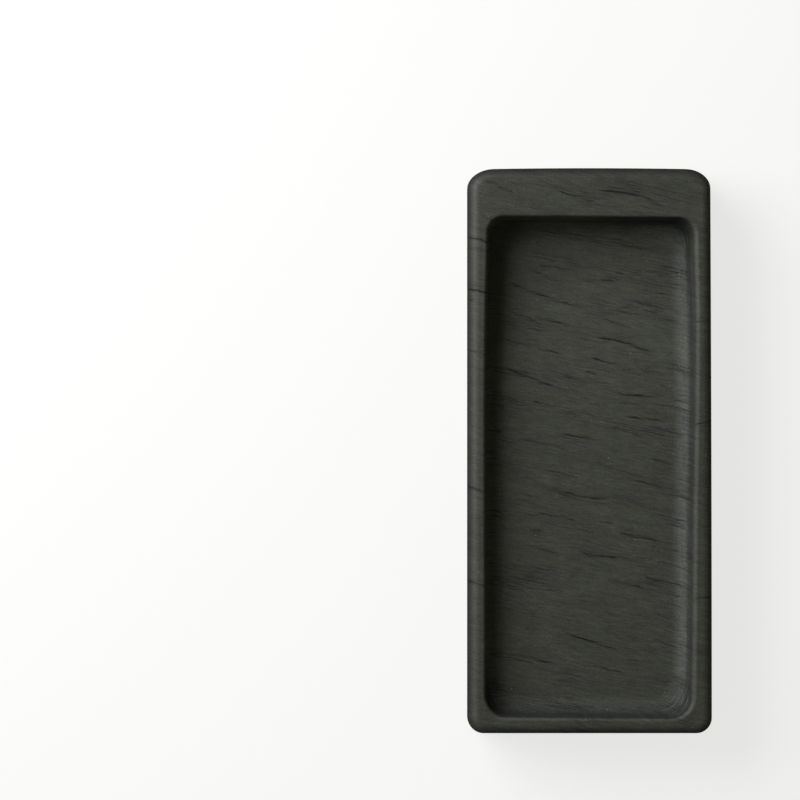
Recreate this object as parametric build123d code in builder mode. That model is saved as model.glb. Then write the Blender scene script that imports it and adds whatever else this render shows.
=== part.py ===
"""Ink stone: a slab of dark slate with rounded corners, hollowed from above into a long well.

The well is the working part. Ink stick and water are rubbed on its long shallow floor, and the
ink runs down a bank into the pool at the head, beside the wide land. The stone is carved from
one block, so it is one piece with nothing fixed to it and nothing inside it.

Millimetres, +Z up. The origin is at the middle of the underside, and the head is at +Y.
"""
import math
import os

from build123d import *

# Block
length = 127.0
width = 55.0
thickness = 18.0
head_crown = 0.3  # how far the head edge bows out at its middle
head_taper = 0.35  # how much narrower the block is at its head
head_left_corner = 5.2
head_right_corner = 4.9
foot_left_corner = 3.8
foot_right_corner = 3.5
top_rounding = 2.1
underside_easing = 1.0

# Mouth of the well
side_rim = 4.0
foot_rim = 3.85
head_land = 11.1
well_turn = -0.45  # degrees that the hand-cut well stands askew to the block
mouth_head_left_corner = 3.9
mouth_head_right_corner = 3.8
mouth_foot_left_corner = 5.0
mouth_foot_right_corner = 4.8
mouth_rounding = 1.0

# Inside of the well
wall_lean = 7.0  # degrees that the walls lean in as they go down
steep_slope = 45.0  # degrees: what leans more than this is a wall, the rest is floor
cove = 4.2
foot_depth = 6.2
bank_depth = 6.8  # where the rubbing floor ends and the bank starts down
pool_depth = 10.4
pool_length = 10.0  # from the mouth's head edge to the foot of the bank
bank_length = 28.0
bend_share = 0.8  # of the pool or half the bank, taken up by each long bend at the bank's ends

# Roundings leave at least the rest of the rim flat
rounded_rim_share = 0.95

# The shapes that are cut away reach this far past what they cut
overrun = 2.0


def round_corner(sketch, corner, radius):
    """Rounds the one corner of a sketch that lies nearest to the given point."""
    fillet(sketch.vertices().sort_by_distance(corner)[0], radius)


def bend_radius(before, corner, after, reach):
    """Radius of the arc that rounds a corner and starts the given distance before it."""
    turn = (Vector(*corner) - Vector(*before)).get_angle(Vector(*after) - Vector(*corner))
    return reach / math.tan(math.radians(turn) / 2)


# The well's mouth, and the two planes that its shape is drawn on: one level with the top of the
# block, one upright along the well. Both turn with the well.
head_width = width - head_taper
mouth_width = head_width - side_rim * 2
mouth_length = length - head_land - foot_rim
mouth_middle = (0, (foot_rim - head_land) / 2, thickness)
mouth_plane = Plane(origin=mouth_middle, z_dir=(0, 0, 1)).rotated((0, 0, well_turn))
side_plane = Plane(origin=mouth_middle, x_dir=mouth_plane.y_dir, z_dir=mouth_plane.x_dir)

# The floor's line seen from the side, from foot to head, with depths under the mouth
well_end = mouth_length / 2
floor_points = [
    (-well_end - overrun, -foot_depth),
    (well_end - pool_length - bank_length, -bank_depth),
    (well_end - pool_length, -pool_depth),
    (well_end + overrun, -pool_depth),
]
bend_reach = min(bank_length / 2, pool_length) * bend_share
floor_bends = [bend_radius(*floor_points[:3], bend_reach), bend_radius(*floor_points[1:], bend_reach)]
under_floor = -pool_depth - overrun * 2

with BuildPart() as well:
    with BuildSketch(mouth_plane) as mouth:
        half_width = mouth_width / 2
        Rectangle(mouth_width, mouth_length)
        round_corner(mouth, (-half_width, well_end), mouth_head_left_corner)
        round_corner(mouth, (half_width, well_end), mouth_head_right_corner)
        round_corner(mouth, (-half_width, -well_end), mouth_foot_left_corner)
        round_corner(mouth, (half_width, -well_end), mouth_foot_right_corner)
    extrude(amount=-pool_depth - overrun, taper=wall_lean)
    with BuildSketch(side_plane) as below_floor:
        with BuildLine():
            floor_line = FilletPolyline(*floor_points, radius=floor_bends)
            Polyline(
                floor_line @ 1,
                (well_end + overrun, under_floor),
                (-well_end - overrun, under_floor),
                floor_line @ 0,
            )
        make_face()
    extrude(amount=mouth_width, both=True, mode=Mode.SUBTRACT)
    wall_rise = math.cos(math.radians(steep_slope))
    walls = well.faces().filter_by(lambda face: abs(face.normal_at().Z) < wall_rise)
    floor = well.faces() - walls - well.faces().sort_by(Axis.Z)[-1:]
    fillet(walls.edges() & floor.edges(), min(cove, foot_depth - mouth_rounding))

with BuildPart() as stone:
    with BuildSketch() as outline:
        half_length = length / 2
        shoulder = half_length - head_crown
        with BuildLine():
            foot_edge = Line((-width / 2, -half_length), (width / 2, -half_length))
            right_edge = Line(foot_edge @ 1, (head_width / 2, shoulder))
            head_edge = ThreePointArc(right_edge @ 1, (0, half_length), (-head_width / 2, shoulder))
            Line(head_edge @ 1, foot_edge @ 0)
        make_face()
        round_corner(outline, head_edge @ 1, head_left_corner)
        round_corner(outline, head_edge @ 0, head_right_corner)
        round_corner(outline, foot_edge @ 0, foot_left_corner)
        round_corner(outline, foot_edge @ 1, foot_right_corner)
    extrude(amount=thickness)
    turn_drift = well_end * math.sin(math.radians(abs(well_turn)))
    narrowest_rim = min(side_rim, foot_rim, head_land) - turn_drift - mouth_rounding
    top_edges = stone.faces().sort_by(Axis.Z)[-1].edges()
    fillet(top_edges, min(top_rounding, narrowest_rim * rounded_rim_share))
    fillet(stone.faces().sort_by(Axis.Z)[0].edges(), underside_easing)
    add(well.part, mode=Mode.SUBTRACT)
    top = stone.faces().filter_by(Axis.Z).sort_by(Axis.Z)[-1]
    fillet(top.inner_wires().edges(), mouth_rounding)

stone.part.label = "stone"
os.makedirs("parts", exist_ok=True)
export_step(stone.part, "parts/stone.step")
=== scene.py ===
"""Looks of the ink stone: a dense hand-cut stone mesh, its veined slate, the floor and the light.

The mesh is a stack of rings round the block and down into the well, with the underside and the
well's floor filled in. Shapes are worked out in millimetres and written to Blender in metres.
"""
import math

import bpy
import numpy as np
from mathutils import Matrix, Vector, noise


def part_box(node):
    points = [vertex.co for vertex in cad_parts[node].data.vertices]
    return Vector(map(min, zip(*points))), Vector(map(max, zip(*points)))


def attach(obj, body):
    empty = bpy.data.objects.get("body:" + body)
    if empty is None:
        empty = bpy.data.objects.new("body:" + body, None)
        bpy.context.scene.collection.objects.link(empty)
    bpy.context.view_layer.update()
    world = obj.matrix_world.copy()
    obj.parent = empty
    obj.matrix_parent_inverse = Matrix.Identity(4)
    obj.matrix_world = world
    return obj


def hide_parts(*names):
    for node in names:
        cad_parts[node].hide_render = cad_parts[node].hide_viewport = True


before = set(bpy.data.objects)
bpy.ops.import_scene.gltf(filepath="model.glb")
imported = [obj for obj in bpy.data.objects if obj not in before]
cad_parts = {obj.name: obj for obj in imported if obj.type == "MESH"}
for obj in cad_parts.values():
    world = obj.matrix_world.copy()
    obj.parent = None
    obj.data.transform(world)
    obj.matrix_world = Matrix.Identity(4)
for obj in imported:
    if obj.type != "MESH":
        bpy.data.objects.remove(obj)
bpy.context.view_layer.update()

MM = 0.001

# Block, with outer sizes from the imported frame. Values for sides go round from +X by quarter turns.
BLOCK_HIGH = Vector(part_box("stone")[1]) / MM
HALF_WIDTH, HALF_LENGTH, THICKNESS = BLOCK_HIGH
HEAD_CROWN = 0.3
CROWN_SHARPNESS = 8  # how late the crown starts on the way to the head
HEAD_DRAW_IN = 0.35  # how far the right side comes in on its way to the head
TOP_ROUNDINGS = {"right": 2.0, "head": 2.3, "left": 2.75, "foot": 2.0}
UNDERCUTS = {"right": 0.0, "head": 0.0, "left": 0.24, "foot": 0.0}
UNDERSIDE_EASING = 1.0
# How fast the raw finish of the sides, and the darkening that goes with it, ends on the way up each
# rounding
RAW_STEEPNESS = {"right": 1.6, "head": 1.15, "left": 1.6, "foot": 1.6}
SMALLEST_CORNER = 0.05
# Reach of each corner's arc along the short side and along the long side
BLOCK_CORNERS = {
    "foot_right": (3.5, 3.5),
    "head_right": (5.6, 4.25),
    "head_left": (6.05, 4.4),
    "foot_left": (3.7, 3.9),
}

# Mouth of the well, whose long sides stray outwards by these amounts at these distances
# headwards of its middle
MOUTH_WIDTH = 46.35
FOOT_RIM = 3.42
HEAD_LAND = 10.93
SIDE_LINES = {
    "right": {-56: 0.1, -42: 0.26, -10: 0.21, 15: 0.44, 37: 0.4, 49: -0.15, 56: -0.2},
    "left": {-56: 0.0, -42: 0.04, -10: 0.37, 15: 0.57, 37: 0.57, 49: 0.3, 56: 0.2},
}
LINE_SOFTNESS = 8.0
LINE_SAMPLES = 5
WELL_SHIFT = 0.04
WELL_TURN = math.radians(-0.45)
MOUTH_ROUNDINGS = {"right": 1.25, "head": 0.5, "left": 0.55, "foot": 0.75}
MOUTH_CORNERS = {
    "foot_right": (4.8, 4.8),
    "head_right": (3.6, 3.6),
    "head_left": (3.6, 3.8),
    "foot_left": (4.7, 5.4),
}

# Inside of the well
WALL_LEAN = math.radians(7)
COVE = 4.2
FLOOR_CORNER = 5.6
FOOT_DEPTH = 6.2
BANK_DEPTH = 6.8
POOL_DEPTH = 10.4
POOL_LENGTH = 10.0
BANK_LENGTH = 28.0
BEND_REACH = 8.0

# How matt the well is where the lip ends, and how much faster than the slope the cove gets matt
LIP_HOLLOW = 0.5
COVE_HOLLOW = 1.6

# Unevenness left by hand grinding: height of the waves and their length
BROAD_WAVE = (0.05, 16.0)
SMALL_WAVE = (0.018, 4.0)
SMALL_WAVE_OFFSET = Vector((7, 3, 5))

# Mesh fineness, in quads
LONG_QUADS = 190
SHORT_QUADS = 84
SIDE_QUADS = 24
ROUND_QUADS = 8
LAND_QUADS = 10
WALL_QUADS = 6
COVE_QUADS = 12

# Camera straight above, with its axis meeting the stone's top face at this place
PICTURE_SIZE = 800
PICTURE_MIDDLE = PICTURE_SIZE / 2
CAMERA_X = -42.58
CAMERA_Y = 11.38
CAMERA_HEIGHT = 1100.0
LENS = 220.67
SENSOR = 36.0
PLACE_ATTEMPTS = 3  # rounds in which a pixel's place on the stone is found

QUARTER = math.pi / 2
RING_POINTS = 2 * (LONG_QUADS + SHORT_QUADS)
CORNER_SIGNS = np.array([(1, -1), (1, 1), (-1, 1), (-1, -1)])
WELL_HALF_X = MOUTH_WIDTH / 2
WELL_HALF_Y = HALF_LENGTH - (HEAD_LAND + FOOT_RIM) / 2
WELL_MIDDLE_Y = (FOOT_RIM - HEAD_LAND) / 2
AROUND_RADIUS = (WELL_HALF_X + WELL_HALF_Y) * 2 / math.pi


def ring_steps():
    """Where each point of a ring lies: the corner before, the corner after, share, angle."""
    rows = []
    radius = np.mean(list(MOUTH_CORNERS.values()))
    arc = radius * QUARTER / 2
    for side, quads in enumerate((LONG_QUADS, SHORT_QUADS) * 2):
        line = 2 * (HALF_WIDTH if side % 2 else HALF_LENGTH) - 2 * radius
        total = 2 * arc + line
        after = (side + 1) % 4
        for step in range(quads):
            along = total * step / quads
            if along < arc:
                rows.append((side, side, 0.0, QUARTER / 2 * along / arc))
            elif along <= arc + line:
                rows.append((side, after, (along - arc) / line, QUARTER / 2))
            else:
                rows.append((after, after, 0.0, QUARTER / 2 * ((along - line) / arc - 2)))
    before, after, share, angle = (np.array(column) for column in zip(*rows))
    return before.astype(int), after.astype(int), share, angle


BEFORE, AFTER, SHARE, ANGLE = ring_steps()
HEADING = np.where(BEFORE != AFTER, QUARTER * BEFORE, QUARTER * (BEFORE - 0.5) + ANGLE)


def by_side(values):
    """One value for each point of a ring, blended from the values of the sides that it faces."""
    weights = [np.clip(np.cos(HEADING - turn * QUARTER), 0, None) ** 2 for turn in range(4)]
    return sum(weight * value for weight, value in zip(weights, values.values()))


def rounded_ring(half_x, half_y, inset, reaches):
    """Plan points of a rounded rectangle drawn in by inset, whose corner arcs have these reaches."""
    half = np.array([half_x, half_y])
    inset = np.broadcast_to(inset, (RING_POINTS,))[:, None]
    reaches = np.broadcast_to(reaches, (RING_POINTS, 4, 2))
    every = np.arange(RING_POINTS)

    def corner_point(corner, angle):
        reach = reaches[every, corner]
        middle = CORNER_SIGNS[corner] * (half - inset - reach)
        turn = QUARTER * (corner - 0.5) + angle
        return middle + reach * np.stack([np.cos(turn), np.sin(turn)], axis=1)

    first = corner_point(BEFORE, np.where(BEFORE != AFTER, QUARTER / 2, ANGLE))
    last = corner_point(AFTER, np.where(BEFORE != AFTER, -QUARTER / 2, ANGLE))
    return first + (last - first) * SHARE[:, None]


def at_height(plan, height):
    return np.column_stack([plan, np.broadcast_to(height, (len(plan),))])


def block_ring(inset, height):
    """A ring of the outer block, with the head's crown and taper."""
    inset = np.broadcast_to(inset, (RING_POINTS,))
    corners = np.array(list(BLOCK_CORNERS.values()))[None] - inset[:, None, None]
    corners = np.maximum(corners, SMALLEST_CORNER)
    plan = rounded_ring(HALF_WIDTH, HALF_LENGTH - HEAD_CROWN / 2, inset, corners)
    plan[:, 1] -= HEAD_CROWN / 2
    headward = np.clip(plan[:, 1] / HALF_LENGTH, 0, 1) ** CROWN_SHARPNESS
    plan[:, 1] += headward * HEAD_CROWN * (1 - (plan[:, 0] / HALF_WIDTH) ** 2)
    from_foot = (plan[:, 1] / HALF_LENGTH + 1) / 2
    plan[:, 0] -= HEAD_DRAW_IN * from_foot**2 * np.clip(plan[:, 0] / HALF_WIDTH, 0, 1)
    return at_height(plan, height)


def stray(run, side):
    """How far outwards a side of the mouth strays, with the corners of its line smoothed."""
    stations, offsets = zip(*SIDE_LINES[side].items())
    steps = np.linspace(-LINE_SOFTNESS, LINE_SOFTNESS, LINE_SAMPLES)
    return np.mean([np.interp(run + step, stations, offsets) for step in steps], axis=0)


def well_plan(inset):
    """Plan points of a ring of the well, before the well is turned."""
    inset = np.broadcast_to(inset, (RING_POINTS,)).astype(float)
    corners = np.array(list(MOUTH_CORNERS.values()))[None]
    inward = (np.clip(inset, 0, None) * math.cos(WALL_LEAN) / COVE)[:, None, None]
    outward = np.clip(-inset, 0, None)[:, None, None]
    reaches = corners + (FLOOR_CORNER - corners) * inward + outward
    plan = rounded_ring(WELL_HALF_X, WELL_HALF_Y, inset, reaches)
    across = plan[:, 0] / WELL_HALF_X
    plan[:, 0] += stray(plan[:, 1], "right") * np.clip(across, 0, 1)
    plan[:, 0] += stray(plan[:, 1], "left") * np.clip(across, -1, 0)
    return plan


def turned(plan):
    """Plan points of the well placed in the block."""
    cos, sin = math.cos(WELL_TURN), math.sin(WELL_TURN)
    x = plan[:, 0] * cos - plan[:, 1] * sin + WELL_SHIFT
    y = plan[:, 0] * sin + plan[:, 1] * cos + WELL_MIDDLE_Y
    return np.column_stack([x, y])


def bend(run, corner, turn):
    """Drop of a line that turns down by turn at corner, rounded over the bends' reach."""
    past = np.clip((run - corner + BEND_REACH) / (2 * BEND_REACH), 0, 1)
    return turn * (BEND_REACH * past**2 + np.clip(run - corner - BEND_REACH, 0, None))


def floor_depth(run):
    """Depth of the floor under the mouth, at run millimetres headwards of the well's middle."""
    pool = WELL_HALF_Y - POOL_LENGTH
    bank = pool - BANK_LENGTH
    slope = (BANK_DEPTH - FOOT_DEPTH) / (bank + WELL_HALF_Y)
    bank_slope = (POOL_DEPTH - BANK_DEPTH) / BANK_LENGTH
    depth = FOOT_DEPTH + slope * (run + WELL_HALF_Y)
    return depth + bend(run, bank, bank_slope - slope) - bend(run, pool, bank_slope)


def filled(ring):
    """Grid of plan points that fills a ring, in rows from foot to head."""
    head_start = LONG_QUADS + SHORT_QUADS
    right = ring[:LONG_QUADS + 1]
    head = ring[LONG_QUADS:head_start + 1][::-1]
    left = ring[head_start:head_start + LONG_QUADS + 1][::-1]
    foot = np.vstack([ring[head_start + LONG_QUADS:], ring[:1]])
    along = np.linspace(0, 1, LONG_QUADS + 1)[:, None, None]
    across = np.linspace(0, 1, SHORT_QUADS + 1)[None, :, None]
    sides = (1 - across) * left[:, None] + across * right[:, None]
    ends = (1 - along) * foot[None] + along * head[None]
    near = (1 - across) * left[0] + across * right[0]
    far = (1 - across) * left[-1] + across * right[-1]
    return (sides + ends - (1 - along) * near - along * far).reshape(-1, 2)


def stone_rings():
    """The stone's rings from the underside to the well's floor, each with its finish values.

    The finish values are raw, hollow and level. Raw is 1 where a side is left unpolished, and hollow
    is 1 on the walls inside the well. Level says how far down the well's section a point is: 1 at the
    foot of the lip, 2 at the foot of the wall and 3 at the inner edge of the cove.
    """
    rings = []

    def add_ring(ring, raw=0.0, hollow=0.0, level=0.0):
        rings.append((ring, raw, hollow, level))

    undercut = by_side(UNDERCUTS)
    quarter = np.linspace(0, QUARTER, ROUND_QUADS + 1)
    for angle in quarter[:-1]:
        inset = undercut + UNDERSIDE_EASING * (1 - math.sin(angle))
        add_ring(block_ring(inset, UNDERSIDE_EASING * (1 - math.cos(angle))), raw=1.0)
    top_rounding = by_side(TOP_ROUNDINGS)
    for share in np.linspace(0, 1, SIDE_QUADS + 1)[:-1]:
        height = UNDERSIDE_EASING + share * (THICKNESS - top_rounding - UNDERSIDE_EASING)
        add_ring(block_ring(undercut * (1 - share), height), raw=1.0)
    for angle in quarter:
        inset = top_rounding * (1 - math.cos(angle))
        height = THICKNESS - top_rounding * (1 - math.sin(angle))
        raw = np.clip(1 - (1 - math.cos(angle)) * by_side(RAW_STEEPNESS), 0, 1)
        add_ring(block_ring(inset, height), raw=raw)

    lip = QUARTER - WALL_LEAN
    rounding = by_side(MOUTH_ROUNDINGS)
    lip_reach = rounding * math.tan(lip / 2)
    land_outer = rings[-1][0]
    land_inner = at_height(turned(well_plan(-lip_reach)), THICKNESS)
    for share in np.linspace(0, 1, LAND_QUADS + 1)[1:]:
        add_ring(land_outer + (land_inner - land_outer) * share)
    for angle in np.linspace(0, lip, ROUND_QUADS + 1)[1:]:
        inset = -lip_reach + rounding * math.sin(angle)
        height = THICKNESS - rounding * (1 - math.cos(angle))
        share = angle / lip
        add_ring(at_height(turned(well_plan(inset)), height), level=share, hollow=share * LIP_HOLLOW)

    wall_top = lip_reach * math.cos(WALL_LEAN)
    depth = floor_depth(well_plan(COVE)[:, 1])
    wall_foot = depth - COVE * (1 - math.sin(WALL_LEAN))
    for share in np.linspace(0, 1, WALL_QUADS + 1)[1:]:
        down = wall_top + (wall_foot - wall_top) * share
        plan = turned(well_plan(down * math.tan(WALL_LEAN)))
        add_ring(at_height(plan, THICKNESS - down), hollow=1.0, level=1 + share)
    cove_middle = (depth - COVE) * math.tan(WALL_LEAN) + COVE / math.cos(WALL_LEAN)
    for angle in np.linspace(lip, 0, COVE_QUADS + 1)[1:]:
        plan = well_plan(cove_middle - COVE * math.sin(angle))
        down = floor_depth(plan[:, 1]) - COVE * (1 - math.cos(angle))
        hollow = min(1.0, math.sin(angle) * COVE_HOLLOW)
        add_ring(at_height(turned(plan), THICKNESS - down), hollow=hollow, level=3 - angle / lip)
    floor = filled(plan)
    floor = at_height(turned(floor), THICKNESS - floor_depth(floor[:, 1]))
    underside = at_height(filled(rings[0][0][:, :2]), 0.0)
    return rings, floor, underside


def grid_faces(start, ring_start, upward):
    """Faces of a filled grid, whose rim uses the points of the ring that starts at ring_start."""
    def vertex(row, column):
        if column == SHORT_QUADS:
            return ring_start + row
        if row == LONG_QUADS:
            return ring_start + LONG_QUADS + SHORT_QUADS - column
        if column == 0:
            return ring_start + (2 * LONG_QUADS + SHORT_QUADS - row) % RING_POINTS
        if row == 0:
            return ring_start + 2 * LONG_QUADS + SHORT_QUADS + column
        return start + row * (SHORT_QUADS + 1) + column

    faces = []
    for row in range(LONG_QUADS):
        for column in range(SHORT_QUADS):
            face = [
                vertex(row, column),
                vertex(row, column + 1),
                vertex(row + 1, column + 1),
                vertex(row + 1, column),
            ]
            faces.append(face if upward else face[::-1])
    return faces


def ground_by_hand(points, shares):
    """Points lowered by slow waves, each by its share. Where the share is 0 they stay."""
    broad_height, broad_length = BROAD_WAVE
    small_height, small_length = SMALL_WAVE
    moved = points.copy()
    for index, point in enumerate(points):
        place = Vector(point)
        broad = noise.noise(place / broad_length)
        small = noise.noise(place / small_length + SMALL_WAVE_OFFSET)
        moved[index, 2] -= (abs(broad) * broad_height + abs(small) * small_height) * shares[index]
    return moved


def finish_values(rings, floor_count, underside_count):
    """The finish values of all points: of the rings, the floor and the underside."""
    raw, hollow, level = (
        np.concatenate([np.broadcast_to(ring[part], (RING_POINTS,)) for ring in rings])
        for part in (1, 2, 3)
    )
    floor_level = level[-1]
    raw = np.concatenate([raw, np.zeros(floor_count), np.ones(underside_count)])
    hollow = np.concatenate([hollow, np.zeros(floor_count + underside_count)])
    level = np.concatenate([level, np.full(floor_count, floor_level), np.zeros(underside_count)])
    return raw, hollow, level


def places_around(ring_count, point_count):
    """Places on a circle as long as the mouth's edge, for patterns that run round the well."""
    turns = np.arange(RING_POINTS) / RING_POINTS * 2 * math.pi
    around = np.zeros((point_count, 3))
    ringed = ring_count * RING_POINTS
    around[:ringed, 0] = np.tile(np.cos(turns), ring_count) * AROUND_RADIUS
    around[:ringed, 1] = np.tile(np.sin(turns), ring_count) * AROUND_RADIUS
    return around


def stone_faces(ring_count, floor_start, under_start):
    faces = []
    for low in range(0, (ring_count - 1) * RING_POINTS, RING_POINTS):
        high = low + RING_POINTS
        for step in range(RING_POINTS):
            after = (step + 1) % RING_POINTS
            faces.append((low + step, low + after, high + after, high + step))
    faces += grid_faces(floor_start, floor_start - RING_POINTS, upward=True)
    faces += grid_faces(under_start, 0, upward=False)
    return faces


def build_stone():
    rings, floor, underside = stone_rings()
    floor_start = len(rings) * RING_POINTS
    under_start = floor_start + len(floor)
    raw, hollow, level = finish_values(rings, len(floor), len(underside))
    points = np.vstack([ring for ring, *finish in rings] + [floor, underside])
    points = ground_by_hand(points, 1 - raw)
    around = places_around(len(rings), len(points))
    faces = stone_faces(len(rings), floor_start, under_start)

    used = np.unique(np.concatenate([np.ravel(face) for face in faces]))
    place_of = np.zeros(len(points), dtype=int)
    place_of[used] = np.arange(len(used))
    mesh = bpy.data.meshes.new("ink_stone")
    mesh.from_pydata((points[used] * MM).tolist(), [], [place_of[list(face)].tolist() for face in faces])
    for name, values in (("raw", raw), ("hollow", hollow), ("level", level)):
        attribute = mesh.attributes.new(name, "FLOAT", "POINT")
        attribute.data.foreach_set("value", values[used].astype(np.float32))
    attribute = mesh.attributes.new("around", "FLOAT_VECTOR", "POINT")
    attribute.data.foreach_set("vector", np.ravel(around[used]).astype(np.float32))
    mesh.polygons.foreach_set("use_smooth", [True] * len(mesh.polygons))
    stone = bpy.data.objects.new("ink_stone", mesh)
    bpy.context.collection.objects.link(stone)
    return stone


# Dark veins of the slate, each a hairline through a few places of the photograph, in pixels:
# darkness, width in millimetres, and the places
VEINS = {
    "land_left": (0.6, 0.30, [(493, 186), (505, 189), (518, 194)]),
    "land_middle": (0.55, 0.26, [(555, 190), (568, 194), (583, 199)]),
    "land_strong": (0.9, 0.34, [(582, 191), (610, 191), (643, 197), (658, 204), (680, 213)]),
    "land_low": (0.5, 0.24, [(632, 206), (650, 208), (668, 212)]),
    "land_twin": (0.45, 0.22, [(600, 187), (625, 189), (650, 196)]),
    "rim_left_upper": (0.95, 0.38, [(460, 290), (478, 291), (493, 294)]),
    "rim_left_head": (0.7, 0.34, [(460, 238), (478, 239), (494, 242)]),
    "rim_left_middle": (0.7, 0.34, [(460, 351), (476, 352), (491, 353)]),
    "rim_left_low": (0.9, 0.38, [(460, 488), (476, 489), (490, 491)]),
    "rim_left_lower": (0.75, 0.34, [(460, 583), (476, 583), (490, 585)]),
    "rim_right_upper": (0.7, 0.32, [(688, 320), (702, 321), (718, 323)]),
    "rim_right_middle": (0.8, 0.32, [(688, 422), (702, 423), (718, 422)]),
    "rim_right_low": (0.9, 0.34, [(688, 597), (701, 598), (718, 598)]),
    "cove_right_low": (0.7, 0.26, [(660, 591), (672, 595), (684, 598)]),
    "pool_one": (0.6, 0.28, [(518, 269), (536, 272), (558, 281), (577, 282)]),
    "pool_two": (0.5, 0.24, [(577, 281), (600, 280), (625, 281)]),
    "pool_three": (0.55, 0.26, [(632, 289), (655, 293), (677, 296)]),
    "pool_long": (0.6, 0.28, [(490, 274), (536, 293), (566, 303), (592, 308)]),
    "bank_dark": (0.8, 0.34, [(614, 306), (630, 307), (647, 307)]),
    "bank_one": (0.65, 0.28, [(573, 311), (595, 315), (616, 323), (638, 330)]),
    "bank_two": (0.65, 0.28, [(523, 318), (551, 320), (566, 326), (580, 329)]),
    "bank_left": (0.6, 0.28, [(500, 309), (520, 315), (542, 322)]),
    "bank_strong": (0.95, 0.36, [(582, 336), (621, 342), (643, 350), (666, 354)]),
    "bank_three": (0.55, 0.26, [(530, 346), (548, 351), (566, 354)]),
    "bank_four": (0.65, 0.28, [(580, 354), (616, 365), (645, 372)]),
    "floor_left": (0.85, 0.34, [(492, 363), (510, 370), (527, 376), (555, 387), (573, 394)]),
    "floor_short": (0.5, 0.24, [(582, 369), (591, 373), (599, 376)]),
    "floor_strong": (0.95, 0.34, [(599, 391), (629, 395), (647, 396), (679, 398)]),
    "floor_spur": (0.5, 0.24, [(655, 385), (665, 387), (675, 389)]),
    "floor_two": (0.5, 0.26, [(599, 402), (640, 404), (677, 407)]),
    "floor_three": (0.55, 0.26, [(525, 400), (545, 404), (564, 409)]),
    "floor_four": (0.6, 0.28, [(618, 415), (648, 419), (675, 422)]),
    "floor_five": (0.55, 0.26, [(634, 428), (652, 432), (671, 437)]),
    "floor_six": (0.5, 0.24, [(555, 433), (580, 437), (606, 441)]),
    "middle_right": (0.85, 0.32, [(647, 458), (664, 463), (680, 468)]),
    "middle_long": (0.6, 0.26, [(614, 472), (638, 481), (675, 491)]),
    "middle_strong": (1.0, 0.36, [(551, 489), (573, 494), (595, 498), (621, 499)]),
    "middle_left": (0.65, 0.28, [(506, 511), (523, 515), (545, 514), (573, 520), (592, 524)]),
    "middle_short": (0.5, 0.24, [(595, 520), (605, 522), (616, 526)]),
    "lower_short": (0.8, 0.30, [(525, 529), (535, 531), (545, 533)]),
    "lower_strong": (0.95, 0.34, [(606, 530), (632, 536), (656, 540), (671, 543)]),
    "lower_left": (0.6, 0.28, [(519, 542), (542, 549), (564, 556)]),
    "lower_middle": (0.9, 0.32, [(569, 546), (592, 555), (614, 557), (629, 558)]),
    "lower_right": (0.9, 0.34, [(640, 571), (648, 577), (666, 581)]),
    "lower_long": (0.6, 0.26, [(601, 578), (629, 584), (651, 591)]),
    "foot_left": (0.45, 0.26, [(494, 588), (508, 594), (521, 598)]),
    "foot_strong": (1.0, 0.36, [(551, 628), (573, 635), (603, 646), (636, 656)]),
    "foot_short": (0.5, 0.26, [(521, 628), (530, 628), (540, 630)]),
    "foot_low": (0.9, 0.32, [(508, 653), (532, 658), (550, 663), (566, 667)]),
    "foot_right": (0.9, 0.32, [(582, 659), (603, 667), (634, 676)]),
}
VEIN_REACH = 2.6  # how many widths to each side a vein's bundle of streaks spreads
VEIN_POWER = 4  # how sharply its core stands out
VEIN_TAPER = 0.25  # share of its length in which it fades in, and again in which it fades out
SHEET_DIP = 0.16  # how far along the stone the vein sheets run for each millimetre down
GRAIN_FALL = math.radians(11)  # how far the grain turns towards the foot on its way to the right
NOISE_ROUGHNESS = 0.55
HALF_WAY = (0.5, 0.5, 0.5)  # the middle value of a noise's colour

# Slate colours, and the pale ones of what lies on it
OLIVE = (0.0510, 0.0547, 0.0427, 1)
LILAC = (0.0520, 0.0520, 0.0513, 1)
# Bluish tint on the walls facing the light: partly a layer of ink, partly the colour of a painted sheen
BLUISH = (0.0475, 0.0530, 0.0500, 1)
WHITISH = (0.22, 0.23, 0.23, 1)
FILM_AND_SHEEN_STRENGTH = 0.75
LILAC_CLUSTER = 0.5
LILAC_BASE = 0.15

# Noises of the slate, with the sizes of their features in millimetres: along the grain, across it
# and downwards. The tool marks' last size runs down the well's section.
NOISES = {
    "slow_bend": {"stretch": (14, 9, 9), "detail": 2},
    "quick_bend": {"stretch": (2.2, 2.0, 2.0), "detail": 3, "offset": (3, 8, 1)},
    "fibre": {"stretch": (3.4, 0.4, 2.0), "detail": 4, "roughness": 0.6},
    "band": {"stretch": (16.0, 1.7, 6.0), "detail": 3, "offset": (4, 2, 9)},
    "patch": {"stretch": (9.0, 7.0, 7.0), "detail": 3, "offset": (1, 6, 2)},
    "speckle": {"stretch": (0.5, 0.3, 0.3), "detail": 2, "offset": (5, 5, 5)},
    "cluster": {"stretch": (15.0, 3.6, 7.0), "detail": 2, "offset": (8, 5, 3)},
    "thin_streaks": {"stretch": (5.0, 0.24, 3.0), "detail": 2, "roughness": 0.5, "offset": (2, 7, 4)},
    "long_streaks": {"stretch": (14.0, 0.34, 4.0), "detail": 3, "roughness": 0.5, "offset": (6, 3, 1)},
    "tool_marks": {"stretch": (5.0, 5.0, 0.4), "detail": 3, "roughness": 0.6},
}
SLOW_BEND = (0, 1.3, 1.3)
QUICK_BEND = (0, 0.85, 0.85)

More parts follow.
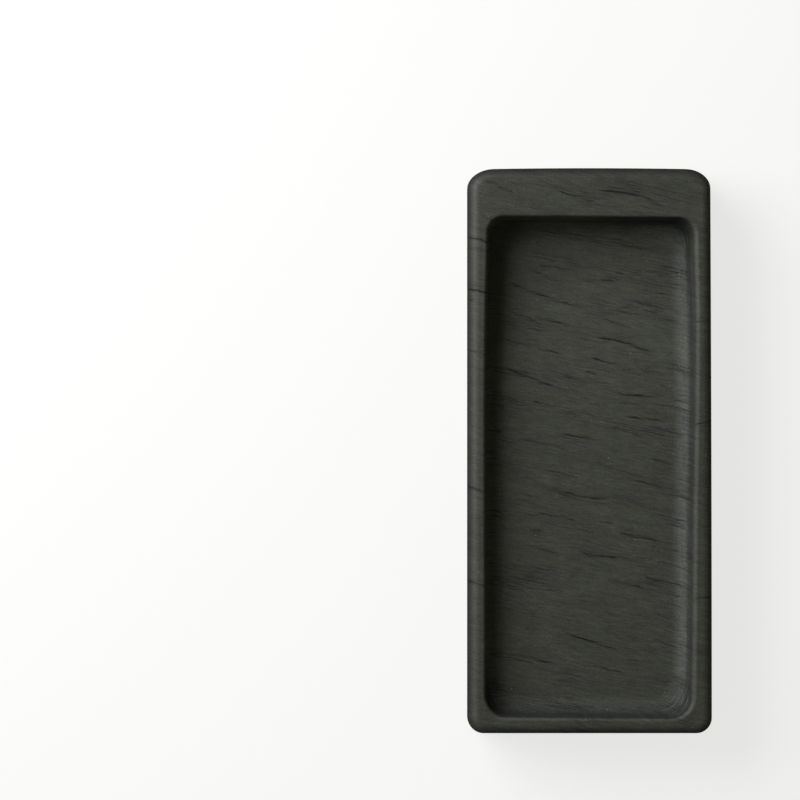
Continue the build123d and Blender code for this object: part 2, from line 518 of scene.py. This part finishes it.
# Each mask goes smoothly from 0 at its first value to 1 at its second. Marks are values of a noise,
# levels are places in the well's section, sides are places across the stone, feet are places along
# it, and the height is above the underside.
MASKS = {
    "thin_marks": (0.52, 0.64),
    "long_marks": (0.53, 0.62),
    "cluster_marks": (0.46, 0.68),
    "residue_marks": (0.48, 0.66),
    "residue_level": (1.2, 1.8),
    # The walls that face the light: the right side and the foot end
    "lit_walls_side": (-4, 8),
    "lit_walls_foot": (-46, -54),
    # The bluish ink layer and painted sheen tint on the walls that face the light
    "film_and_sheen_inner_level": (3.0, 2.5),
    "film_and_sheen_outer_level": (1.0, 1.5),
    # Painted highlight in the right cove, which faces the light
    "cove_highlight_inner_level": (2.9, 2.6),
    "cove_highlight_outer_level": (2.25, 2.5),
    "cove_highlight_side": (8, 16),
    "cove_highlight_foot": (-54, -48),
    # Painted shade on the walls that face the light, and more on the foot wall
    "wall_shade_inner_level": (2.5, 2.2),
    "wall_shade_outer_level": (0.6, 1.0),
    "wall_shade_foot": (-51, -56),
    "wall_shade_foot_inner_level": (2.85, 2.4),
    "wall_shade_foot_outer_level": (0.8, 1.0),
    # painted shade on the outer side of the top edges
    "edge_shade_height": (THICKNESS - 5, THICKNESS - 2),
}

# Streaks fade out from the first distance from the middle line to the second, between these strengths
RIM_FADE = (22.0, 24.0, 1.0, 0.45)
CLUSTER_STREAKS = 0.85
LONE_STREAKS = 0.17
STREAK_DARKNESS = 0.62
VEIN_STREAKS = 0.5
VEIN_BASE = 0.62

# Inside the well: millimetres down its section for each level, how strongly the foot wall counts as a
# dark one for the painted wall shade, and the crease at the foot of the walls, in levels
SECTION_LENGTH = 6.1
FOOT_WALL_SHADE = 0.6
CREASE_LEVEL = 2.04
CREASE_HALF_WIDTH = 0.09
# Pale residue in the well's corners: pixel, reach in millimetres, strength
RESIDUES = {
    "pool": ((684, 236), 4.0, 0.35),
    "foot": ((684, 704), 6.5, 0.4),
    "foot_left": ((489, 706), 2.0, 0.3),
}
# Pale specks and dark pits: distance apart, then the radii where they start to fade and end
SPECK_SPACING = 3.6
SPECK_RADII = (0.06, 0.17)
PIT_SPACING = 4.4
PIT_RADII = (0.12, 0.24)
PIT_OFFSET = (4, 4, 4)

# Brightness that each noise gives the slate: two values of the noise, and the brightness at each
NOISE_TONES = {
    "fibre": (0.28, 0.72, 0.84, 1.3),
    "band": (0.3, 0.7, 0.92, 1.12),
    "patch": (0.3, 0.7, 0.94, 1.06),
    "speckle": (0.28, 0.72, 0.8, 1.2),
}
# The same for the well's levels, and for what the tool marks add where the bluish tint is full
FLOOR_TONE = (2.2, 3.0, 1.0, 1.1)
FILM_AND_SHEEN_TONE = (0.3, 0.7, -0.08, 0.2)
# Part of the brightness that each mask adds where it is full
LINE_TONE = -0.92
PIT_TONE = -0.6
# Where raw: partly the unpolished sides' own darker tone, partly painted shade on sides and top
# roundings
RAW_AND_SHADE_TONE = -0.3
# Painted shade round the top of the sides and up the raw part of the top roundings, all round the stone
EDGE_SHADE_TONE = -0.85
# Painted shade on the walls that face the light
WALL_SHADE_TONE = -0.42
# Painted highlight in the right cove
COVE_HIGHLIGHT_TONE = 0.45
# Painted shade along the crease at the foot of the walls
CREASE_SHADE_TONE = -0.45

# Roughness from the fibre, what each mask adds to it, and the share of each pattern in the relief
FIBRE_ROUGHNESS = (0.3, 0.7, 0.50, 0.57)
RAW_ROUGHNESS = 0.4
HOLLOW_ROUGHNESS = 0.4
LINE_ROUGHNESS = 0.42
PIT_ROUGHNESS = 0.3
CREASE_ROUGHNESS = 0.2
SPECULAR_LEVEL = 0.5
FIBRE_RELIEF = 0.35
SPECKLE_RELIEF = 0.4
STREAK_RELIEF = -0.5
TOOL_RELIEF = 0.5
RELIEF_STRENGTH = 0.6
RELIEF_HEIGHT = 0.03 * MM

# A mix node's sockets for colours, which share their names with those for numbers and vectors
MIX_COLOR_INPUTS = (6, 7)
MIX_COLOR_OUTPUT = 2


def depth_at(x, y):
    """Depth below the top face at a place in plan, with the well's cove."""
    inset = min(WELL_HALF_X - abs(x - WELL_SHIFT), WELL_HALF_Y - abs(y - WELL_MIDDLE_Y))
    if inset <= 0:
        return 0.0
    rise = max(1 - inset / COVE, 0)
    return float(floor_depth(np.array(y - WELL_MIDDLE_Y))) - COVE * (1 - math.sqrt(1 - rise**2))


def stone_place(pixel_x, pixel_y):
    """Place on the stone, in millimetres, that the photograph shows at a pixel."""
    scale = SENSOR / LENS / PICTURE_SIZE
    depth = 0.0
    for attempt in range(PLACE_ATTEMPTS):
        reach = (CAMERA_HEIGHT + depth) * scale
        x = CAMERA_X + (pixel_x - PICTURE_MIDDLE) * reach
        y = CAMERA_Y - (pixel_y - PICTURE_MIDDLE) * reach
        depth = depth_at(x, y)
    return Vector((x, y, THICKNESS - depth))


class Shading:
    """Short ways to add the nodes of one material."""

    def __init__(self, material):
        self.nodes = material.node_tree.nodes
        self.links = material.node_tree.links

    def put(self, socket, value):
        if isinstance(value, bpy.types.NodeSocket):
            self.links.new(value, socket)
        elif value is not None:
            socket.default_value = value

    def math(self, operation, first, second=None, third=None):
        node = self.nodes.new("ShaderNodeMath")
        node.operation = operation
        for socket, value in zip(node.inputs, (first, second, third)):
            self.put(socket, value)
        return node.outputs[0]

    def steps(self, value, low, high, to_low=0.0, to_high=1.0):
        """A smooth change from to_low to to_high as value goes from low to high."""
        node = self.nodes.new("ShaderNodeMapRange")
        node.interpolation_type = "SMOOTHSTEP"
        for socket, given in zip(node.inputs, (value, low, high, to_low, to_high)):
            self.put(socket, given)
        return node.outputs[0]

    def mask(self, value, name):
        return self.steps(value, *MASKS[name])

    def vector(self, operation, first, second):
        node = self.nodes.new("ShaderNodeVectorMath")
        node.operation = operation
        self.put(node.inputs[0], first)
        self.put(node.inputs["Scale" if operation == "SCALE" else 1], second)
        return node.outputs[0]

    def split(self, vector):
        """The three values of a vector."""
        node = self.nodes.new("ShaderNodeSeparateXYZ")
        self.put(node.inputs[0], vector)
        return node.outputs[:]

    def joined(self, x, y, z):
        node = self.nodes.new("ShaderNodeCombineXYZ")
        for socket, value in zip(node.inputs, (x, y, z)):
            self.put(socket, value)
        return node.outputs[0]

    def stretched(self, place, stretch, offset=(0, 0, 0)):
        """Places squeezed so that a pattern with features one unit wide gets these lengths in mm."""
        node = self.nodes.new("ShaderNodeMapping")
        self.put(node.inputs["Vector"], place)
        node.inputs["Scale"].default_value = [1 / length for length in stretch]
        node.inputs["Location"].default_value = offset
        return node.outputs[0]

    def noise(self, place, name, output="Fac"):
        """One of the noises of the slate at a place."""
        settings = NOISES[name]
        node = self.nodes.new("ShaderNodeTexNoise")
        squeezed = self.stretched(place, settings["stretch"], settings.get("offset", (0, 0, 0)))
        self.put(node.inputs["Vector"], squeezed)
        node.inputs["Scale"].default_value = 1.0
        node.inputs["Detail"].default_value = settings["detail"]
        node.inputs["Roughness"].default_value = settings.get("roughness", NOISE_ROUGHNESS)
        return node.outputs[output]

    def cells(self, place, size, offset=(0, 0, 0)):
        """Distance to the nearest of random points about this far apart, in millimetres."""
        node = self.nodes.new("ShaderNodeTexVoronoi")
        self.put(node.inputs["Vector"], self.stretched(place, (size, size, size), offset))
        node.inputs["Scale"].default_value = 1.0
        return self.math("MULTIPLY", node.outputs["Distance"], size)

    def distance(self, place, point):
        node = self.nodes.new("ShaderNodeVectorMath")
        node.operation = "DISTANCE"
        self.put(node.inputs[0], place)
        self.put(node.inputs[1], point)
        return node.outputs["Value"]

    def scaled(self, *factors):
        """Product of several values."""
        product = factors[0]
        for factor in factors[1:]:
            product = self.math("MULTIPLY", product, factor)
        return product

    def raised(self, mask, share, base=1.0):
        """A base value with a share of a mask added to it."""
        return self.math("MULTIPLY_ADD", mask, share, base)

    def mix(self, share, first, second):
        node = self.nodes.new("ShaderNodeMix")
        node.data_type = "RGBA"
        self.put(node.inputs["Factor"], share)
        for number, color in zip(MIX_COLOR_INPUTS, (first, second)):
            self.put(node.inputs[number], color)
        return node.outputs[MIX_COLOR_OUTPUT]

    def curve(self, value, points, handles="AUTO"):
        """A curve through the given points, in the value's own units, straight between VECTOR ones."""
        node = self.nodes.new("ShaderNodeFloatCurve")
        self.put(node.inputs["Value"], value)
        node.mapping.use_clip = False
        curve = node.mapping.curves[0]
        curve.points[0].location = points[0]
        curve.points[-1].location = points[-1]
        for point in points[1:-1]:
            curve.points.new(*point)
        for point in curve.points:
            point.handle_type = handles
        node.mapping.update()
        return node.outputs[0]

    def attribute(self, name, output="Fac"):
        node = self.nodes.new("ShaderNodeAttribute")
        node.attribute_name = name
        return node.outputs[output]


def sheet_place(shading, place):
    """Places slid along the stone with depth, so that veins run down into it as dipping sheets."""
    x, y, z = shading.split(place)
    return shading.joined(x, shading.raised(z, SHEET_DIP, y), 0)


def grain_frame(x, y):
    """Turns a place in plan so that the first value runs along the grain."""
    cos, sin = math.cos(GRAIN_FALL), math.sin(GRAIN_FALL)
    return x * cos - y * sin, x * sin + y * cos


def vein_mask(shading, run, across, darkness, width, pixels):
    """Nearness to one vein: highest on a curve through the given places, fading to both ends."""
    path = []
    for pixel in pixels:
        x, y, z = stone_place(*pixel)
        path.append(grain_frame(x, y + z * SHEET_DIP))
    start, end = path[0][0], path[-1][0]
    peak = darkness ** (1 / VEIN_POWER)
    taper = (end - start) * VEIN_TAPER
    middle = shading.curve(run, path)
    off_line = shading.math("ABSOLUTE", shading.math("SUBTRACT", across, middle))
    ends = [(start, 0), (start + taper, peak), (end - taper, peak), (end, 0)]
    strength = shading.curve(run, ends, handles="VECTOR")
    return shading.raised(off_line, -peak / (width * VEIN_REACH), strength)


def wave(shading, place, name, reach):
    """Moves that vary from place to place, of up to half the reach each way."""
    move = shading.vector("SUBTRACT", shading.noise(place, name, "Color"), HALF_WAY)
    return shading.vector("MULTIPLY", move, reach)


def bent_places(shading, place):
    """Places for the veins, bent by a quick wave, and for the grain, bent by a slow one as well."""
    slow = wave(shading, place, "slow_bend", SLOW_BEND)
    quick = wave(shading, place, "quick_bend", QUICK_BEND)
    sheet = shading.vector("ADD", sheet_place(shading, place), quick)
    turned_places = []
    for bent in (sheet, shading.vector("ADD", sheet, slow)):
        node = shading.nodes.new("ShaderNodeMapping")
        node.inputs["Rotation"].default_value = (0, 0, GRAIN_FALL)
        shading.put(node.inputs["Vector"], bent)
        turned_places.append(node.outputs[0])
    return turned_places


def streaks(shading, grain):
    """Short dark streaks along the grain, thin ones and longer ones."""
    thin = shading.noise(grain, "thin_streaks")
    long = shading.noise(grain, "long_streaks")
    return shading.math("MAXIMUM", shading.mask(thin, "thin_marks"), shading.mask(long, "long_marks"))


def vein_nearness(shading, sheet):
    """Nearness to the closest of the long veins, from 0 to 1."""
    run, across, down = shading.split(sheet)
    near = 0.0
    for darkness, width, pixels in VEINS.values():
        mask = vein_mask(shading, run, across, darkness, width, pixels)
        near = shading.math("MAXIMUM", near, mask)
    return shading.math("MINIMUM", near, 1.0)


def dark_lines(shading, sheet, grain, across):
    """How clustered the dark lines are, the streaks alone, and the streaks with the long veins."""
    rim = shading.steps(shading.math("ABSOLUTE", across), *RIM_FADE)
    near = vein_nearness(shading, sheet)
    cluster = shading.mask(shading.noise(grain, "cluster"), "cluster_marks")
    cluster = shading.math("MAXIMUM", near, cluster)
    streak = streaks(shading, grain)
    fine = shading.scaled(streak, rim, shading.raised(cluster, CLUSTER_STREAKS, LONE_STREAKS))
    core = shading.math("POWER", near, VEIN_POWER)
    core = shading.scaled(core, shading.raised(streak, VEIN_STREAKS, VEIN_BASE))
    lines = shading.math("MINIMUM", shading.raised(fine, STREAK_DARKNESS, core), 1.0)
    return cluster, fine, lines


def tool_marks(shading, level):
    """Marks of the tool that swept round the well."""
    x, y, z = shading.split(shading.attribute("around", "Vector"))
    sweep = shading.joined(x, y, shading.scaled(level, SECTION_LENGTH))
    return shading.noise(sweep, "tool_marks")


def well_masks(shading, across, along, level):
    """Masks in the well: bluish ink layer and sheen tint, painted cove highlight, painted wall and
    crease shade.
    """
    # The walls that face the light: the right side and the foot end
    lit_walls = shading.math(
        "MAXIMUM", shading.mask(across, "lit_walls_side"), shading.mask(along, "lit_walls_foot")
    )
    film_and_sheen = shading.scaled(
        shading.mask(level, "film_and_sheen_inner_level"), shading.mask(level, "film_and_sheen_outer_level"), lit_walls
    )
    # Painted highlight: the right cove brightened, fading out before the foot
    cove_highlight = shading.scaled(
        shading.mask(level, "cove_highlight_inner_level"),
        shading.mask(level, "cove_highlight_outer_level"),
        shading.mask(across, "cove_highlight_side"),
        shading.mask(along, "cove_highlight_foot"),
    )
    # Painted shade: the walls that face the light darkened, the foot wall further
    wall_shade = shading.scaled(
        shading.mask(level, "wall_shade_inner_level"), shading.mask(level, "wall_shade_outer_level"), lit_walls
    )
    footward = shading.scaled(
        shading.mask(along, "wall_shade_foot"),
        shading.mask(level, "wall_shade_foot_inner_level"),
        shading.mask(level, "wall_shade_foot_outer_level"),
    )
    wall_shade = shading.raised(footward, FOOT_WALL_SHADE, wall_shade)
    # Painted shade along the crease at the foot of the walls, which is rougher too
    off_crease = shading.math("ABSOLUTE", shading.math("SUBTRACT", level, CREASE_LEVEL))
    crease = shading.steps(off_crease, 0.0, CREASE_HALF_WIDTH, 1.0, 0.0)
    return film_and_sheen, cove_highlight, wall_shade, crease


def residue_mask(shading, place, level, tool):
    """Pale residue in the well's corners, broken up by the tool marks."""
    residue = 0.0
    for pixel, reach, strength in RESIDUES.values():
        away = shading.distance(place, stone_place(*pixel))
        residue = shading.math("MAXIMUM", residue, shading.steps(away, 0, reach, strength, 0))
    return shading.scaled(
        residue, shading.mask(tool, "residue_marks"), shading.mask(level, "residue_level")
    )


def slate_color(shading, tone, cluster, film_and_sheen, pale):
    """The slate's colour: lilac in clusters of lines, bluish under ink and sheen tint, else olive."""
    color = shading.mix(shading.raised(cluster, LILAC_CLUSTER, LILAC_BASE), OLIVE, LILAC)
    # Bluish on the walls that face the light: partly a layer of ink, partly the tint of a painted sheen
    color = shading.mix(shading.scaled(film_and_sheen, FILM_AND_SHEEN_STRENGTH), color, BLUISH)
    color = shading.vector("SCALE", color, tone)
    return shading.mix(pale, color, WHITISH)


def slate_material():
    material = bpy.data.materials.new("slate")
    material.use_nodes = True
    shading = Shading(material)
    shader = shading.nodes["Principled BSDF"]
    coordinates = shading.nodes.new("ShaderNodeTexCoord")
    place = shading.vector("SCALE", coordinates.outputs["Object"], 1 / MM)
    raw = shading.attribute("raw")
    hollow = shading.attribute("hollow")
    level = shading.attribute("level")
    across, along, height = shading.split(place)

    sheet, grain = bent_places(shading, place)
    fibre = shading.noise(grain, "fibre")
    band = shading.noise(grain, "band")
    patch = shading.noise(place, "patch")
    speckle = shading.noise(grain, "speckle")
    cluster, fine, lines = dark_lines(shading, sheet, grain, across)
    tool = tool_marks(shading, level)
    film_and_sheen, cove_highlight, wall_shade, crease = well_masks(shading, across, along, level)
    # Painted shade: a dark band round the top of the sides, reaching up the raw part of the top
    # roundings
    edge = shading.scaled(raw, shading.mask(height, "edge_shade_height"))
    residue = residue_mask(shading, place, level, tool)
    speck = shading.steps(shading.cells(place, SPECK_SPACING), *SPECK_RADII, 1.0, 0.0)
    pit = shading.steps(shading.cells(place, PIT_SPACING, PIT_OFFSET), *PIT_RADII, 1.0, 0.0)

    # Painted in the tone: shade on the sides, edges, lit walls and crease; a highlight in the right cove
    tone = shading.scaled(
        shading.steps(fibre, *NOISE_TONES["fibre"]),
        shading.steps(band, *NOISE_TONES["band"]),
        shading.steps(patch, *NOISE_TONES["patch"]),
        shading.steps(speckle, *NOISE_TONES["speckle"]),
        shading.raised(lines, LINE_TONE),
        shading.raised(pit, PIT_TONE),
        shading.steps(level, *FLOOR_TONE),
        shading.raised(raw, RAW_AND_SHADE_TONE),
        shading.raised(edge, EDGE_SHADE_TONE),
        shading.raised(wall_shade, WALL_SHADE_TONE),
        shading.raised(cove_highlight, COVE_HIGHLIGHT_TONE),
        shading.raised(crease, CREASE_SHADE_TONE),
        shading.raised(film_and_sheen, shading.steps(tool, *FILM_AND_SHEEN_TONE)),
    )
    pale = shading.math("MAXIMUM", residue, speck)
    shading.put(shader.inputs["Base Color"], slate_color(shading, tone, cluster, film_and_sheen, pale))

    rough = shading.steps(fibre, *FIBRE_ROUGHNESS)
    rough = shading.raised(raw, RAW_ROUGHNESS, rough)
    rough = shading.raised(hollow, HOLLOW_ROUGHNESS, rough)
    rough = shading.raised(lines, LINE_ROUGHNESS, rough)
    rough = shading.raised(pit, PIT_ROUGHNESS, rough)
    rough = shading.raised(crease, CREASE_ROUGHNESS, rough)
    shading.put(shader.inputs["Roughness"], shading.math("MINIMUM", rough, 1.0))
    shader.inputs["Specular IOR Level"].default_value = SPECULAR_LEVEL

    relief = shading.scaled(fibre, FIBRE_RELIEF)
    relief = shading.raised(speckle, SPECKLE_RELIEF, relief)
    relief = shading.raised(fine, STREAK_RELIEF, relief)
    relief = shading.raised(shading.scaled(tool, film_and_sheen), TOOL_RELIEF, relief)
    bump = shading.nodes.new("ShaderNodeBump")
    bump.inputs["Strength"].default_value = RELIEF_STRENGTH
    bump.inputs["Distance"].default_value = RELIEF_HEIGHT
    shading.put(bump.inputs["Height"], relief)
    shading.put(shader.inputs["Normal"], bump.outputs[0])
    return material


# The floor glows a little, so that it stays pale under a weak light
FLOOR_COLOR = (0.3, 0.3, 0.3, 1)
FLOOR_ROUGHNESS = 0.9
FLOOR_GLOW = (1, 1, 1, 1)
FLOOR_GLOW_STRENGTH = 0.75
# Metres: how far the floor is flat, and the radius of the curve in which it rises into a low backdrop
FLOOR_REACH = 2.0
FLOOR_BEND = 0.13
FLOOR_RISE = FLOOR_BEND * 2
FLOOR_INNER_REACH = 0.35 * FLOOR_REACH
FLOOR_ARC_STEPS = 12
FLOOR_TURN_STEPS = 72


def floor_material():
    material = bpy.data.materials.new("pale_floor")
    material.use_nodes = True
    shader = material.node_tree.nodes["Principled BSDF"]
    shader.inputs["Base Color"].default_value = FLOOR_COLOR
    shader.inputs["Roughness"].default_value = FLOOR_ROUGHNESS
    shader.inputs["Specular IOR Level"].default_value = 0.0
    shader.inputs["Emission Color"].default_value = FLOOR_GLOW
    shader.inputs["Emission Strength"].default_value = FLOOR_GLOW_STRENGTH
    return material


def add_floor():
    """A round floor whose far edge rises all round in a smooth curve."""
    section = [(FLOOR_INNER_REACH, 0.0), (FLOOR_REACH, 0.0)]
    for step in range(1, FLOOR_ARC_STEPS + 1):
        angle = QUARTER * step / FLOOR_ARC_STEPS
        section.append((FLOOR_REACH + FLOOR_BEND * math.sin(angle), FLOOR_BEND * (1 - math.cos(angle))))
    section.append((FLOOR_REACH + FLOOR_BEND, FLOOR_RISE))
    points = []
    for reach, height in section:
        for step in range(FLOOR_TURN_STEPS):
            turn = 2 * math.pi * step / FLOOR_TURN_STEPS
            points.append((reach * math.cos(turn), reach * math.sin(turn), height))
    faces = [tuple(range(FLOOR_TURN_STEPS))]
    for low in range(0, len(points) - FLOOR_TURN_STEPS, FLOOR_TURN_STEPS):
        outer = low + FLOOR_TURN_STEPS
        for step in range(FLOOR_TURN_STEPS):
            after = (step + 1) % FLOOR_TURN_STEPS
            faces.append((low + step, outer + step, outer + after, low + after))
    mesh = bpy.data.meshes.new("floor")
    mesh.from_pydata(points, [], faces)
    mesh.polygons.foreach_set("use_smooth", [True] * len(mesh.polygons))
    mesh.materials.append(floor_material())
    floor = bpy.data.objects.new("floor", mesh)
    floor.visible_glossy = False  # the stone's edges stay dark instead of mirroring the pale floor
    bpy.context.collection.objects.link(floor)


KEY_PLACE = Vector((-367, 250, 280)) * MM
KEY_AIM = Vector((0, 20, 18)) * MM
KEY_SIZE = 550 * MM
KEY_POWER = 3.3
FILL = 0.1
FILL_COLOR = (1.0, 1.0, 0.78, 1)


def add_key_light():
    data = bpy.data.lights.new("key", "AREA")
    data.shape = "DISK"
    data.size = KEY_SIZE
    data.energy = KEY_POWER
    key = bpy.data.objects.new("key", data)
    key.location = KEY_PLACE
    key.rotation_euler = (KEY_PLACE - KEY_AIM).to_track_quat("Z", "Y").to_euler()
    bpy.context.collection.objects.link(key)


def set_studio():
    world = bpy.data.worlds.new("studio")
    world.use_nodes = True
    background = world.node_tree.nodes["Background"]
    background.inputs["Color"].default_value = FILL_COLOR
    background.inputs["Strength"].default_value = FILL
    bpy.context.scene.world = world
    bpy.context.scene.view_settings.view_transform = "Standard"


def add_camera():
    data = bpy.data.cameras.new("camera")
    data.sensor_width = SENSOR
    data.lens = LENS
    camera = bpy.data.objects.new("camera", data)
    camera.location = Vector((CAMERA_X, CAMERA_Y, CAMERA_HEIGHT + THICKNESS)) * MM
    bpy.context.collection.objects.link(camera)
    bpy.context.scene.camera = camera


stone = build_stone()
stone.data.materials.append(slate_material())
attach(stone, "root")
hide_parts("stone")
add_floor()
add_key_light()
set_studio()
add_camera()
